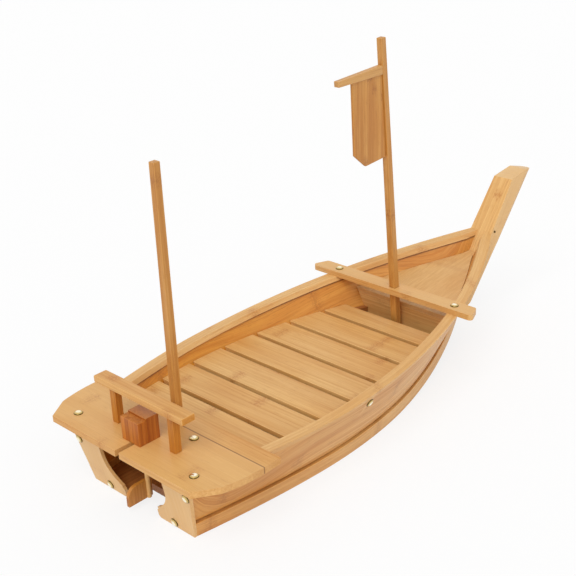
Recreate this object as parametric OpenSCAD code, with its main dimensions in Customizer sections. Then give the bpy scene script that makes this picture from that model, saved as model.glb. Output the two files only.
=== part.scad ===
// Wooden serving boat. Two bent, flared side planks run from a raked transom to a raked
// stem. The stern is decked and carries a rail, a mast and a rudder. The middle is an open
// tray with a slatted floor. The bow has a rising deck behind a crossbar and a raked mast.
// X runs forward to the bow, Y to port and Z up. The boat rests on Z = 0.
// Sizes along the boat are measured from the aft edge of the stern deck, heights from Z = 0.

/* [Hull] */
// Length from the aft edge of the deck to where the cap strips meet the stem
hull_length = 523; // [500:1:560]
// Greatest width over the cap strips
hull_width = 214.6; // [200:0.2:230]
// Greatest width over the lower rails
foot_width = 171; // [160:0.5:180]
// Distance of the greatest width from the aft edge of the deck
widest_at = 180; // [165:1:200]
// Width of the transom at its top
transom_width = 158; // [150:0.5:166]
// Width of the transom at its foot, over the lower rails
transom_foot_width = 139; // [132:0.5:145]
// Width over the lower rails where they would reach the stem's face
foot_end_width = 15; // [13:0.5:26]
// Fullness of the top line towards the bow
bow_fullness = 2.17; // [1.9:0.01:2.4]
// Fullness of the top line towards the stern
stern_fullness = 1.65; // [1.4:0.01:2]
// Fullness of the lower rail towards the bow
foot_fullness = 1.95; // [1.8:0.01:2.2]
// Rise of the top line from the stern to the stem
sheer_rise = 37; // [25:0.5:50]
// Rise of the bottom line at the hull's length
keel_rise = 33.2; // [20:0.2:40]
// Distance at which the bottom line starts to rise
keel_rise_from = 250; // [220:1:280]
// Thickness of the side planks
plank_t = 8; // [6:0.2:8.4]
// Distance from the middle of the boat to which the planks and caps are thinned at the stem
end_half = 3.4; // [2:0.1:4]
// Least width of a plank's end at the stem
end_t = 5; // [4.6:0.1:6]
// Ease with which the inside of the planks and caps runs into the thinned ends
end_ease = 5; // [2:0.1:6]

/* [Lower rail and cap strip] */
// Height of the lower rail
rail_h = 15; // [12:0.5:18]
// Step of the lower rail outside the side plank
rail_proud = 3; // [1.5:0.1:4]
// Inward lean of the lower rail's foot where the hull is widest
rail_lean = 3; // [0:0.1:4]
// Height of the shadow groove above the lower rail
groove_h = 1.6; // [1:0.1:3]
// Depth of the shadow groove
groove_d = 2.5; // [1:0.1:3.5]
// Width of the cap strip
cap_w = 11; // [9.5:0.1:11.2]
// Thickness of the cap strip
cap_t = 4.7; // [3.5:0.1:6]

/* [Stern deck] */
// Height of the deck's top
deck_height = 66; // [60:0.5:72]
// Thickness of the deck boards
deck_t = 6; // [5:0.1:8]
// Length of the aft deck board
deck_board_length = 62.6; // [60:0.2:70]
// Length of the forward deck strip
deck_strip_length = 19; // [16:0.2:24]
// Width of the deck at its forward edge
deck_width = 220; // [205:1:240]
// Width of the deck where the aft corners end
deck_corner_width = 208; // [195:1:216]
// Width of the deck's aft edge
deck_aft_width = 180; // [160:1:200]
// Length of the cut-off aft corners
deck_corner_length = 21; // [10:0.5:30]
// Overhang of the deck behind the transom
deck_overhang = 8.6; // [4:0.1:12]
// Width of the rudder slot
slot_w = 5.2; // [5:0.1:7]
// Length of the rudder slot
slot_length = 32; // [31:0.5:36]

/* [Transom and stern bulkhead] */
// Rake of the transom from the upright, in degrees
transom_rake = 11.3; // [6:0.1:14]
// Thickness of the transom
transom_t = 3; // [2.5:0.1:5]
// Width of the arch below the deck
arch_w = 83; // [70:1:92]
// Height at which the sides of the arch start to curve in
arch_spring = 38; // [34:0.5:44]
// Height of the curved part of the arch, down to where its ellipse would close
arch_drop = 31; // [28:0.5:33]
// Width of the neck between the feet of the transom
neck_w = 44; // [36:0.5:50]
// Height of the lip above the neck
lip_height = 12.5; // [10:0.1:14]
// Width of the lip
lip_w = 2; // [1:0.1:3]
// Distance of the stern bulkhead from the aft edge of the deck
stern_bulkhead_at = 51.4; // [50:0.1:53]
// Thickness of the stern bulkhead
stern_bulkhead_t = 8; // [6:0.1:10]

/* [Stem] */
// Rake of the stem from the upright, in degrees
stem_rake = 37.8; // [34:0.1:40]
// Length of the stem's head along the boat, without its slope at the nose
stem_depth = 55.1; // [44:0.1:58]
// Length of the stem along the boat at the foot of its nose
stem_foot_depth = 31.6; // [28:0.1:44]
// Rise of the stem's head from its aft edge to the ridge, in degrees
head_slope = 8.2; // [0:0.1:10]
// Part of the head's length that falls from the ridge towards the nose
nose_ease = 25; // [16:0.5:30]
// Height that this fall takes off the top of the nose
nose_drop = 7.7; // [4:0.1:9]
// Part of the head's length on which the sides of the stem are parallel
stem_parallel = 27; // [15:0.5:30]
// Width of the stem
stem_w = 28; // [27:0.1:32]
// Width of the stem at its head
stem_head_w = 23.6; // [18:0.1:26]
// Height of the aft edge of the stem's head
stem_height = 152; // [130:1:170]
// Height of the lower end of the stem's nose
nose_foot = 36; // [28:0.5:40]
// Height of the stem's heel, behind the nose
stem_heel = 21; // [20:0.5:24]
// Radius of the nose
nose_r = 11; // [4:0.1:12]

/* [Floor] */
// Height of the top of the floor slats
floor_height = 52; // [42:0.5:56]
// Thickness of the floor slats
slat_t = 5; // [4:0.1:6]
// Distance between the gaps of the slats
slat_pitch = 42; // [36:0.5:42]
// Width of the gaps between the slats
slat_gap = 5; // [3:0.1:8]
// Distance of the first slat from the aft edge of the deck
slats_from = 80.5; // [76:0.5:84]
// Width of the ledges under the slats
ledge_w = 6; // [4:0.1:8]
// Height of the ledges under the slats
ledge_h = 6; // [4:0.1:8]
// Thickness of the bottom board
bottom_t = 7; // [7:0.1:8]
// Lift of the bottom board above the feet of the lower rails
bottom_lift = 0.5; // [0.2:0.1:2]
// Distance of the forward edge of the notch in the bottom board
notch_at = 42; // [38:0.5:50]
// Distance of the forward end of the bottom board
bottom_end = 440; // [400:1:445]

/* [Fore deck] */
// Distance of the fore bulkhead
fore_bulkhead_at = 377; // [377:0.5:385]
// Thickness of the fore bulkhead
fore_bulkhead_t = 6; // [5:0.1:8]
// Height of the fore deck at its aft edge
fore_deck_height = 66.1; // [62:0.1:70]
// Rise of the fore deck towards the stem, in degrees
fore_deck_angle = 6.6; // [4:0.1:8]
// Thickness of the fore deck
fore_deck_t = 5; // [4:0.1:6]

/* [Crossbar] */
// Distance of the crossbar's aft edge
bar_at = 358.2; // [350:0.2:359]
// Reach of the crossbar's aft edge past the cap strips
bar_overhang = 20.3; // [10:0.1:30]
// Reach of the crossbar's forward edge past the cap strips
bar_fore_overhang = 18.1; // [8:0.1:28]
// Shift of the crossbar to port
bar_shift = 2; // [0:0.1:4]
// Radius of the crossbar's corners
bar_corner_r = 3.5; // [1:0.1:5]
// Width of the crossbar
bar_w = 18.1; // [16:0.1:18.4]
// Thickness of the crossbar
bar_t = 5.9; // [5:0.1:8]
// Depth to which the cap strips are cut away at the crossbar's aft edge
bar_seat = 0.3; // [0.1:0.1:1]

/* [Bow mast, yard and sail board] */
// Distance of the bow mast's axis where it passes the top of the crossbar
bow_mast_at = 366.6; // [365.5:0.1:367]
// Rake of the bow mast towards the stern, in degrees
bow_mast_rake = 4.3; // [2:0.1:5]
// Length of the bow mast above the crossbar
bow_mast_length = 260.7; // [240:0.5:280]
// Side of the bow mast at the crossbar
bow_mast_side = 7.7; // [7:0.1:9]
// Side of the bow mast at its head
bow_mast_head_side = 6.4; // [5:0.1:7]
// Distance of the yard's underside above the crossbar, along the mast
yard_at = 226.6; // [200:0.5:235]
// Length of the yard
yard_length = 66; // [55:0.5:80]
// Height of the yard at the mast
yard_h = 8.8; // [6:0.1:10]
// Height of the yard at its tip
yard_tip_h = 5.6; // [4:0.1:7]
// Width of the yard
yard_w = 6; // [4:0.1:6.4]
// Width of the sail board at its foot
sail_w = 45.5; // [36:0.5:52]
// Width of the sail board below the yard
sail_head_w = 42.5; // [34:0.5:52]
// Height of the sail board
sail_h = 82; // [60:0.5:100]
// Thickness of the sail board
sail_t = 3; // [2:0.1:4]
// Cut-off lower corner of the sail board
sail_corner = 15; // [5:0.5:25]

/* [Stern mast] */
// Distance of the stern mast's axis
stern_mast_at = 67.5; // [67.2:0.1:72]
// Height of the stern mast's head
stern_mast_height = 299; // [270:1:320]
// Side of the stern mast at the deck
stern_mast_side = 7.5; // [7:0.1:9]
// Side of the stern mast at its head
stern_mast_head_side = 6.6; // [5:0.1:7]

/* [Stern rail] */
// Distance of the rail beam's aft edge
beam_at = 25.4; // [24:0.2:32]
// Length of the rail beam
beam_length = 115; // [100:1:130]
// Width of the rail beam
beam_w = 13.9; // [12:0.1:16]
// Thickness of the rail beam
beam_t = 6.4; // [5:0.1:8]
// Height of the rail posts
post_h = 34.6; // [30:0.2:40]
// Size of the rail posts along the boat
post_l = 7.2; // [6:0.1:10]
// Size of the rail posts across the boat
post_w = 7.5; // [6:0.1:10]
// Distance between the middles of the rail posts
post_spacing = 75; // [60:1:90]

/* [Rudder] */
// Distance of the rudder head's aft face
head_at = 16.5; // [14:0.1:18]
// Width of the rudder head
head_w = 23.2; // [18:0.2:26]
// Shift of the rudder head to port
head_shift = 1.2; // [0:0.1:3]
// Length of the slab behind the head block
head_slab_l = 8.6; // [6:0.1:9]
// Height of the slab behind the head block
head_slab_h = 22.2; // [18:0.1:28]
// Length of the head block
head_block_l = 13.6; // [13:0.1:16]
// Height of the head block
head_block_h = 23.6; // [20:0.1:29]
// Distance of the rudder stock's axis
stock_at = 28.4; // [28.2:0.1:29]
// Diameter of the rudder stock
stock_d = 4.5; // [3.6:0.1:4.8]
// Height of the rudder stock's foot
stock_foot = 6.5; // [5:0.1:10]
// Depth of the stock's socket in the head block
stock_socket = 12; // [8:0.5:16]
// Distance of the blade's aft edge
blade_at = 6.6; // [3:0.1:8]
// Length of the blade at its foot
blade_l = 26; // [25:0.1:30]
// Height of the blade's foot
blade_foot = 6.5; // [6:0.1:10]
// Height of the blade
blade_h = 18; // [15:0.1:20]
// Radius of the blade's upper aft corner
blade_r = 10; // [4:0.1:14]
// Thickness of the blade
blade_t = 3.5; // [3:0.1:6]

/* [Nails] */
// Diameter of the domed nail heads
nail_d = 8.4; // [6:0.1:9]
// Height of the domed nail heads
nail_h = 2; // [1:0.1:3]
// Diameter of the nail shanks
shank_d = 2; // [1.4:0.1:2.4]
// Length of the shanks of the deck and crossbar nails
shank_l = 11; // [9:0.5:12]
// Length of the shanks of the transom nails
transom_shank_l = 8; // [6:0.1:8.2]
// Length of the shanks of the side nails
side_shank_l = 6; // [4:0.5:7]
// Distance of the aft deck nails inside the outside of the planks
deck_nail_inset = 4.1; // [3.5:0.1:5]
// Distance of the aft pair of deck nails from the deck's aft edge
deck_nail_at = 17.7; // [16:0.1:22]
// Distance between the deck nails over the stern bulkhead
bulkhead_nail_spacing = 68; // [50:1:90]
// Distance of the upper transom nails inside the outside of the planks
transom_nail_inset = 4.1; // [3.8:0.1:4.6]
// Height of the upper transom nails
transom_nail_height = 45; // [40:0.5:50]
// Distance between the lower transom nails
foot_nail_spacing = 86; // [80:1:96]
// Distance of the crossbar nails inside the outer edges of the cap strips
bar_nail_inset = 6.6; // [5:0.1:7.4]
// Distance of the side nails from the aft edge of the deck
side_nail_at = 203; // [180:1:240]
// Depth of the side nails below the top line
side_nail_drop = 9.6; // [9:0.1:16]
// Diameter of the small pins at the stem
pin_d = 2.4; // [1.5:0.1:3]
// Length of the small pins at the stem
pin_l = 8; // [5:0.5:10]
// Distance of the small pins from the stem's aft face
pin_from_face = 5; // [4:0.1:8]

/* [Fits] */
// Gap between a board's end and the plank that it meets
fit_gap = 0.2; // [0.1:0.05:0.4]
// Gap from the middle of the boat to the inside of a plank, where both reach the stem
centre_gap = 0.3; // [0.2:0.05:0.5]
// Step of the planks' outside behind the sides of the stem
stem_step = 0.5; // [0.2:0.1:1.5]
// Gap around a mast in its hole
mast_gap = 0.3; // [0.2:0.05:0.5]
// Gap around a shank, a pin or the rudder stock
bore_gap = 0.1; // [0.05:0.05:0.2]

/* [Hidden] */
$fn = 48;
pale_wood = "burlywood";
wall_wood = "#c8965f";
inner_wood = "#c08a4e";
mast_wood = "#c88c4b";
dark_wood = "#a8642f";
brass = "#d9c27a";
deck_stations = 6;
open_stations = 34;
plank_rows = 3;
board_stations = 12;
arch_steps = 14;
corner_steps = 6;
cut_reach = 400;
cut_past = 1;

// Heights and plan lines of the hull
deck_end = deck_board_length + deck_strip_length;
deck_under = deck_height - deck_t;
sheer_low = deck_under + cap_t - sheer_rise * pow(deck_end / hull_length, 2);
function mix(a, b, t) = a + (b - a) * t;
function sheer(x) = sheer_low + sheer_rise * pow(x / hull_length, 2);
function keel(x) = keel_rise * pow(max(0, x - keel_rise_from) / (hull_length - keel_rise_from), 2);
function rail_top(x) = keel(x) + rail_h;
function groove_top(x) = rail_top(x) + groove_h;
function plank_top(x) = x < deck_end ? deck_under : sheer(x) - cap_t;
function bottom_under(x) = keel(x) + bottom_lift;
function bottom_top(x) = bottom_under(x) + bottom_t;

// A line in plan that is widest at widest_at and has a given half-width at a given place
function taper(x, half, end_x, end_half, power) =
    half - (half - end_half) * pow(abs(x - widest_at) / abs(end_x - widest_at), power);

// Raked faces between which the planks are held: distance at a given height
function stem_face(z) = hull_length + tan(stem_rake) * (z - sheer(hull_length));
function transom_aft(z) = deck_overhang + tan(transom_rake) * (deck_under - z);
function transom_face(z) = transom_aft(z) + transom_t / cos(transom_rake);

// Distance at which a height line meets a raked face
function stem_meet(line, x = hull_length, n = 12) =
    n == 0 ? x : stem_meet(line, stem_face(line(x)), n - 1);
function transom_meet(line, x = 0, n = 12) =
    n == 0 ? x : transom_meet(line, transom_face(line(x)), n - 1);

// Corners of the hull's side, seen from the side
high_line = function(x) sheer(x);
low_line = function(x) rail_top(x);
low_aft = transom_meet(low_line);
low_fore = stem_meet(low_line);
high_aft = transom_meet(high_line);
high_fore = stem_meet(high_line);

// Half-widths over the cap strips and over the lower rails
plank_end_half = stem_w / 2 - stem_step;
function top_half(x) = x > widest_at
    ? taper(x, hull_width / 2, hull_length, plank_end_half, bow_fullness)
    : taper(x, hull_width / 2, deck_overhang, transom_width / 2, stern_fullness);
function foot_half(x) = x > widest_at
    ? taper(x, foot_width / 2, low_fore, foot_end_width / 2, foot_fullness)
    : taper(x, foot_width / 2, low_aft, transom_foot_width / 2, stern_fullness);

// Half-width of the hull at any place on its side, outside and inside of the planks. The
// planks' flat facets stand in from their curve by up to the allowance.
function up_share(x, z) = (z - rail_top(x)) / (sheer(x) - rail_top(x));
function along_share(x, f) =
    (x - mix(low_aft, high_aft, f)) / (mix(low_fore, high_fore, f) - mix(low_aft, high_aft, f));
function outer_half(x, z) =
    let (f = up_share(x, z), t = along_share(x, f))
    mix(foot_half(mix(low_aft, low_fore, t)) - rail_proud, top_half(mix(high_aft, high_fore, t)), f);
function slant(x, z) =
    let (along = (outer_half(x + 1, z) - outer_half(x - 1, z)) / 2)
    let (up = (outer_half(x, z + 1) - outer_half(x, z - 1)) / 2)
    sqrt(1 + along * along + up * up);
function eased_max(a, b) = (a + b + sqrt(pow(a - b, 2) + end_ease * end_ease)) / 2;
function inner_half(x, z) =
    let (outer = outer_half(x, z))
    max(centre_gap, eased_max(outer - plank_t * slant(x, z), min(end_half, outer - end_t)));
function rail_inner_half(x) = inner_half(x, rail_top(x));
facet_allowance = 0.2;
function board_half(x, z) = inner_half(x, max(z, rail_top(x))) - fit_gap - facet_allowance;

// Place of a station along a height line, from the transom over the deck's end to the stem
function station(line, i) = i <= deck_stations
    ? mix(transom_meet(line), deck_end, i / deck_stations)
    : mix(deck_end, stem_meet(line), (i - deck_stations) / open_stations);
all_stations = [0 : deck_stations + open_stations];
cap_stations = [deck_stations : deck_stations + open_stations];

// Closed skin over a row of outlines that all have the same number of points. An outline
// runs up one side and down the other, so its end face is laid like the rungs of a ladder.
function rungs(count) = [
    for (k = [0 : ceil(count / 2) - 2])
        let (facing = count - 1 - k)
        each k + 1 < facing - 1
            ? [[k, k + 1, facing - 1], [k, facing - 1, facing]]
            : [[k, k + 1, facing]]
];
module skin(outlines) {
    count = len(outlines[0]);
    last = len(outlines) - 1;
    polyhedron(
        points = [for (outline = outlines, point = outline) point],
        faces = concat(
            [for (i = [0 : last - 1], k = [0 : count - 1])
                let (a = i * count + k, b = i * count + (k + 1) % count)
                each [[a, b, b + count], [a, b + count, a + count]]],
            [for (f = rungs(count)) [f[2], f[1], f[0]]],
            [for (f = rungs(count)) [for (k = f) last * count + k]]));
}

module in_frame() {
    translate([-overall_length / 2, 0, 0])
        children();
}

module starboard() {
    mirror([0, 1, 0])
        children();
}

// Side planks: the outside runs up from the groove, the inside runs down again
function row_line(r) = function(x) mix(groove_top(x), plank_top(x), r / plank_rows);
plank_lines = [low_line, for (r = [0 : plank_rows]) row_line(r)];
function outer_point(line, i, inset) =
    let (x = station(line, i))
    [x, outer_half(x, line(x)) - inset, line(x)];
function inner_point(line, i) =
    let (x = station(line, i))
    [x, inner_half(x, line(x)), line(x)];
function plank_outline(i) = [
    outer_point(plank_lines[0], i, groove_d),
    outer_point(plank_lines[1], i, groove_d),
    for (r = [1 : plank_rows + 1]) outer_point(plank_lines[r], i, 0),
    for (r = [plank_rows + 1 : -1 : 0]) inner_point(plank_lines[r], i)
];

module plank() {
    difference() {
        skin([for (i = all_stations) plank_outline(i)]);
        deck_nail_places() nail_hole();
        upper_transom_nail_places() nail_hole(transom_shank_l);
        bar_nail_places() nail_hole();
        side_nail_place() nail_hole(side_shank_l);
    }
}

module side_plank_port() {
    color(wall_wood)
        in_frame() plank();
}

module side_plank_starboard() {
    color(wall_wood)
        in_frame() starboard() plank();
}

// Lower rails: square inside, leaning outside, with an upright end at the bow
keel_line = function(x) keel(x);
function foot_lean(x) = rail_lean * min(1, max(0, (low_fore - x) / (low_fore - widest_at)));
function rail_point(line, i, inset) =
    let (x = station(line, i))
    [x, foot_half(x) - inset, line(x)];
function rail_inner_point(line, i) =
    let (x = station(line, i))
    [x, rail_inner_half(x), line(x)];
function rail_outline(i) = [
    rail_point(keel_line, i, foot_lean(station(keel_line, i))),
    rail_point(low_line, i, 0),
    rail_inner_point(low_line, i),
    rail_inner_point(keel_line, i)
];

module rail() {
    skin([for (i = all_stations) rail_outline(i)]);
}

module lower_rail_port() {
    color(wall_wood)
        in_frame() rail();
}

module lower_rail_starboard() {
    color(wall_wood)
        in_frame() starboard() rail();
}

// Cap strips: flush outside with the planks, with a lip over their inside
top_line = function(x) plank_top(x);
function plan_slant(x, z) =
    let (along = (outer_half(x + 1, z) - outer_half(x - 1, z)) / 2)
    sqrt(1 + along * along);
function cap_inner_point(line, i) =
    let (x = station(line, i), z = line(x))
    [x, eased_max(outer_half(x, z) - cap_w * plan_slant(x, z), end_half), z];
function cap_outline(i) = [
    outer_point(top_line, i, 0),
    outer_point(high_line, i, 0),
    cap_inner_point(high_line, i),
    cap_inner_point(top_line, i)
];

module cap() {
    difference() {
        skin([for (i = cap_stations) cap_outline(i)]);
        translate([bar_at - fit_gap, -cut_reach / 2, bar_under])
            cube([bar_w + 2 * fit_gap, cut_reach, cut_reach]);
        bar_nail_places() nail_hole();
    }
}

module gunwale_cap_port() {
    color(pale_wood)
        in_frame() cap();
}

module gunwale_cap_starboard() {
    color(pale_wood)
        in_frame() starboard() cap();
}

// Transom: two raked cheeks, parted by an arch that is open at the deck and at the foot
lip_angle = asin((arch_spring - lip_height) / arch_drop);
function cheek_half(x, z) = z > rail_h
    ? outer_half(x, z) + rail_proud * (1 - up_share(x, z))
    : mix(foot_half(low_aft) - foot_lean(low_aft), foot_half(low_aft), z / rail_h);
function cheek_inner(z) = z >= arch_spring
    ? arch_w / 2
    : z >= lip_height
    ? arch_w / 2 * sqrt(1 - pow((arch_spring - z) / arch_drop, 2))
    : neck_w / 2 + max(0, lip_w - z, min(lip_w, z - lip_height + 2 * lip_w));
arch_heights = [
    for (k = [arch_steps : -1 : 0]) arch_spring - arch_drop * sin(lip_angle * k / arch_steps)
];
cheek_heights = [
    0,
    lip_w,
    lip_height - 2 * lip_w,
    lip_height - lip_w,
    for (z = arch_heights) if (z < rail_h) z,
    rail_h,
    for (z = arch_heights) if (z > rail_h) z,
    deck_under
];
function cheek_outline(z) = [
    [transom_aft(z), cheek_inner(z), z],
    [transom_face(z), cheek_inner(z), z],
    [transom_face(z), cheek_half(transom_face(z), z), z],
    [transom_aft(z), cheek_half(transom_aft(z), z), z]
];

module cheek() {
    difference() {
        skin([for (z = cheek_heights) cheek_outline(z)]);
        upper_transom_nail_places() nail_hole(transom_shank_l);
        foot_nail_places() nail_hole(transom_shank_l);
    }
}

module transom_port() {
    color(pale_wood)
        in_frame() cheek();
}

module transom_starboard() {
    color(pale_wood)
        in_frame() starboard() cheek();
}

// Outline across the boat between the planks, for a board whose top and foot are at
// given distances and heights
function across(top_x, top_z, foot_x, foot_z) = [
    [foot_x, board_half(foot_x, foot_z), foot_z],
    [top_x, board_half(top_x, top_z), top_z],
    [top_x, -board_half(top_x, top_z), top_z],
    [foot_x, -board_half(foot_x, foot_z), foot_z]
];

// The same with a knuckle where the planks stand on the lower rails
function across_rails(x, top_z, foot_z) = [
    [x, board_half(x, foot_z), foot_z],
    [x, board_half(x, rail_top(x)), rail_top(x)],
    [x, board_half(x, top_z), top_z],
    [x, -board_half(x, top_z), top_z],
    [x, -board_half(x, rail_top(x)), rail_top(x)],
    [x, -board_half(x, foot_z), foot_z]
];

module stern_bulkhead() {
    color(inner_wood)
        in_frame()
        difference() {
            skin([for (x = [stern_bulkhead_at, stern_bulkhead_at + stern_bulkhead_t])
                across_rails(x, deck_under, bottom_top(x))]);
            bulkhead_nail_places() nail_hole();
        }
}

// Bottom board: follows the rising bottom line and is notched below the rudder. The plan
// outline is cut out of a board whose side view follows the bottom line.
bottom_aft = transom_face(bottom_under(0));
bottom_places = [
    for (i = [0 : board_stations]) mix(bottom_aft, keel_rise_from, i / board_stations),
    for (i = [1 : board_stations]) mix(keel_rise_from, bottom_end, i / board_stations)
];
bottom_count = len(bottom_places);

module bottom_board() {
    color(inner_wood)
        in_frame()
        difference() {
            intersection() {
                linear_extrude(deck_height)
                    polygon([
                        for (x = bottom_places) [x, board_half(x, 0)],
                        for (k = [1 : bottom_count])
                            let (x = bottom_places[bottom_count - k])
                            [x, -board_half(x, 0)]
                    ]);
                rotate([90, 0, 0])
                    linear_extrude(foot_width, center = true)
                        polygon([
                            for (x = bottom_places) [x, bottom_under(x)],
                            for (k = [1 : bottom_count - 1])
                                let (x = bottom_places[bottom_count - k])
                                [x, bottom_top(x)],
                            [transom_face(bottom_top(0)), bottom_top(0)]
                        ]);
            }
            translate([0, -neck_w / 2, -cut_past])
                cube([notch_at, neck_w, bottom_lift + bottom_t + 2 * cut_past]);
            foot_nail_places() nail_hole(transom_shank_l);
            starboard() foot_nail_places() nail_hole(transom_shank_l);
        }
}

// Stem: bullet outline drawn square to its raked aft face. It narrows from the planks up to
// the head and grows shorter down to the foot of the nose. The foot is cut flat, the head in
// two planes that meet in a low ridge.
nose_fullness = 2.4;
stem_axis = [sin(stem_rake), cos(stem_rake)];
stem_square = [cos(stem_rake), -sin(stem_rake)];
stem_origin = [hull_length, sheer(hull_length)];
heel_aft = [stem_face(stem_heel), stem_heel];
head_aft = [stem_face(stem_height), stem_height];
heel_nose = [stem_face(nose_foot) + stem_foot_depth, nose_foot];
head_corner = head_aft + stem_depth * [1, tan(head_slope)];
head_ridge = mix(head_corner, head_aft, nose_ease / stem_depth);
head_nose = mix(head_corner, heel_nose, nose_drop / (head_corner[1] - heel_nose[1]));
overall_length = head_nose[0];
foot_s = (heel_nose - stem_origin) * stem_axis;
head_s = (head_corner - stem_origin) * stem_axis;
head_aft_s = (head_aft - stem_origin) * stem_axis;
foot_reach = (heel_nose - stem_origin) * stem_square;
head_reach = (head_corner - stem_origin) * stem_square;
function stem_shortening(s) = mix(foot_reach, head_reach, (s - foot_s) / (head_s - foot_s)) / head_reach;
function stem_narrowing(s) = s < 0 ? 1 : mix(1, stem_head_w / stem_w, s / head_aft_s);
stem_stations = [(heel_aft - stem_origin) * stem_axis - stem_depth, 0, head_s + cut_past];
cut_share = 0.1;
stem_side = [
    mix(heel_aft, heel_nose, -cut_share),
    mix(head_aft, head_corner, -cut_share),
    head_ridge,
    mix(head_ridge, head_nose, 1 + cut_share),
    mix(heel_aft, heel_nose, 1 + cut_share)
];
nose_at = head_reach - nose_r;
nose_turn = 15;
function stem_flank(t) = [
    mix(stem_parallel * cos(stem_rake), nose_at, t),
    mix(stem_w / 2, nose_r, pow(t, nose_fullness))
];
stem_half_outline = [
    [0, stem_w / 2],
    for (k = [0 : arch_steps]) stem_flank(k / arch_steps),
    for (a = [90 - nose_turn : -nose_turn : nose_turn]) [nose_at + nose_r * cos(a), nose_r * sin(a)]
];
stem_half_count = len(stem_half_outline);
stem_full_outline = [
    for (p = stem_half_outline) [p[0], -p[1]],
    [nose_at + nose_r, 0],
    for (k = [stem_half_count - 1 : -1 : 0]) stem_half_outline[k]
];
function stem_outline(s) = [
    for (p = stem_full_outline) [p[0] * stem_shortening(s), p[1] * stem_narrowing(s), s]
];

module stem_post() {
    color(pale_wood)
        in_frame()
        difference() {
            intersection() {
                rotate([90, 0, 0])
                    linear_extrude(stem_w + 2 * cut_past, center = true)
                        polygon(stem_side);
                translate([hull_length, 0, sheer(hull_length)])
                    rotate([0, stem_rake, 0])
                    skin([for (s = stem_stations) stem_outline(s)]);
            }
            pin_place() pin(pin_d + 2 * bore_gap, pin_l + bore_gap);
            starboard() pin_place() pin(pin_d + 2 * bore_gap, pin_l + bore_gap);
        }
}

// Fore bulkhead and fore deck
fore_deck_slope = tan(fore_deck_angle);
fore_deck_line = function(x) fore_deck_height + fore_deck_slope * (x - fore_bulkhead_at);
fore_deck_under_line = function(x) fore_deck_line(x) - fore_deck_t;

module fore_bulkhead() {
    color(inner_wood)
        in_frame()
        skin([for (x = [fore_bulkhead_at, fore_bulkhead_at + fore_bulkhead_t])
            across_rails(x, fore_deck_under_line(x), bottom_top(x) + fit_gap)]);
}

module fore_deck() {
    color(pale_wood)
        in_frame()
        skin([for (i = [0 : board_stations])
            let (t = i / board_stations)
            let (top_x = mix(fore_bulkhead_at, stem_meet(fore_deck_line), t))
            let (foot_x = mix(fore_bulkhead_at, stem_meet(fore_deck_under_line), t))
            across(top_x, fore_deck_line(top_x), foot_x, fore_deck_under_line(foot_x))]);
}

// Stern deck: two boards, cut off at the aft corners, with the rudder slot in the aft one
function deck_half(x) = x < deck_corner_length
    ? mix(deck_aft_width, deck_corner_width, x / deck_corner_length) / 2
    : taper_to(x, deck_corner_width / 2, deck_width / 2);
function deck_share(x) = min(1, (x - deck_corner_length) / (deck_board_length - deck_corner_length));
function taper_to(x, from, to) = to - (to - from) * pow(1 - deck_share(x), 2);
function deck_edge(from, to) = [for (i = [0 : board_stations]) mix(from, to, i / board_stations)];

module deck_plate(places) {
    translate([0, 0, deck_under])
        linear_extrude(deck_t)
            polygon([
                for (x = places) [x, deck_half(x)],
                for (k = [len(places) - 1 : -1 : 0]) [places[k], -deck_half(places[k])]
            ]);
}

module aft_deck() {
    color(pale_wood)
        in_frame()
        difference() {
            deck_plate(concat([0], deck_edge(deck_corner_length, deck_board_length)));
            translate([-cut_past, -slot_w / 2, deck_under - cut_past])
                cube([slot_length + cut_past, slot_w, deck_t + 2 * cut_past]);
            deck_nail_places() nail_hole();
            starboard() deck_nail_places() nail_hole();
            bulkhead_nail_places() nail_hole();
        }
}

module forward_strip() {
    color(pale_wood)
        in_frame()
        difference() {
            deck_plate([deck_board_length, deck_end]);
            translate([stern_mast_at, 0, 0])
                mast_body(stern_mast_side + 2 * mast_gap, stern_mast_side + 2 * mast_gap,
                    0, stern_mast_height);
        }
}

// Floor: ledges along the planks and slats across them
slat_under = floor_height - slat_t;
ledge_from = stern_bulkhead_at + stern_bulkhead_t;
function ledge_outline(x) = [
    [x, board_half(x, slat_under - ledge_h), slat_under - ledge_h],
    [x, board_half(x, slat_under), slat_under],
    [x, board_half(x, slat_under) - ledge_w, slat_under],
    [x, board_half(x, slat_under) - ledge_w, slat_under - ledge_h]
];

module ledge() {
    skin([for (i = [0 : 2 * board_stations])
        ledge_outline(mix(ledge_from, fore_bulkhead_at, i / (2 * board_stations)))]);
}

module floor_ledge_port() {
    color(inner_wood)
        in_frame() ledge();
}

module floor_ledge_starboard() {
    color(inner_wood)
        in_frame() starboard() ledge();
}

slat_limit = bar_at;
module floor_slat(number) {
    from = slats_from + (number - 1) * slat_pitch;
    to = min(from + slat_pitch - slat_gap, slat_limit);
    color(pale_wood)
        in_frame()
        skin([for (i = [0 : 4])
            let (x = mix(from, to, i / 4))
            across(x, floor_height, x, slat_under)]);
}

// Outline with rounded corners, for points that go round counterclockwise
function unit(v) = v / norm(v);
function corner_arc(a, b, c, r) =
    let (back = unit(a - b), on = unit(c - b), half = acos(back * on) / 2)
    let (middle = b + unit(back + on) * r / sin(half))
    let (start = b + back * r / tan(half) - middle, from = atan2(start[1], start[0]))
    let (turn = (180 - 2 * half) / corner_steps)
    [for (k = [0 : corner_steps]) middle + r * [cos(from + turn * k), sin(from + turn * k)]];
function rounded(points, r) =
    let (n = len(points))
    [for (k = [0 : n - 1]) each corner_arc(points[(k + n - 1) % n], points[k], points[(k + 1) % n], r)];

// Crossbar: rests in seats cut into the cap strips and is pierced by the bow mast
bar_under = sheer(bar_at) - bar_seat;
bar_top = bar_under + bar_t;
bar_half = top_half(bar_at) + bar_overhang;
bar_fore_half = top_half(bar_at + bar_w) + bar_fore_overhang;

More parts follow.
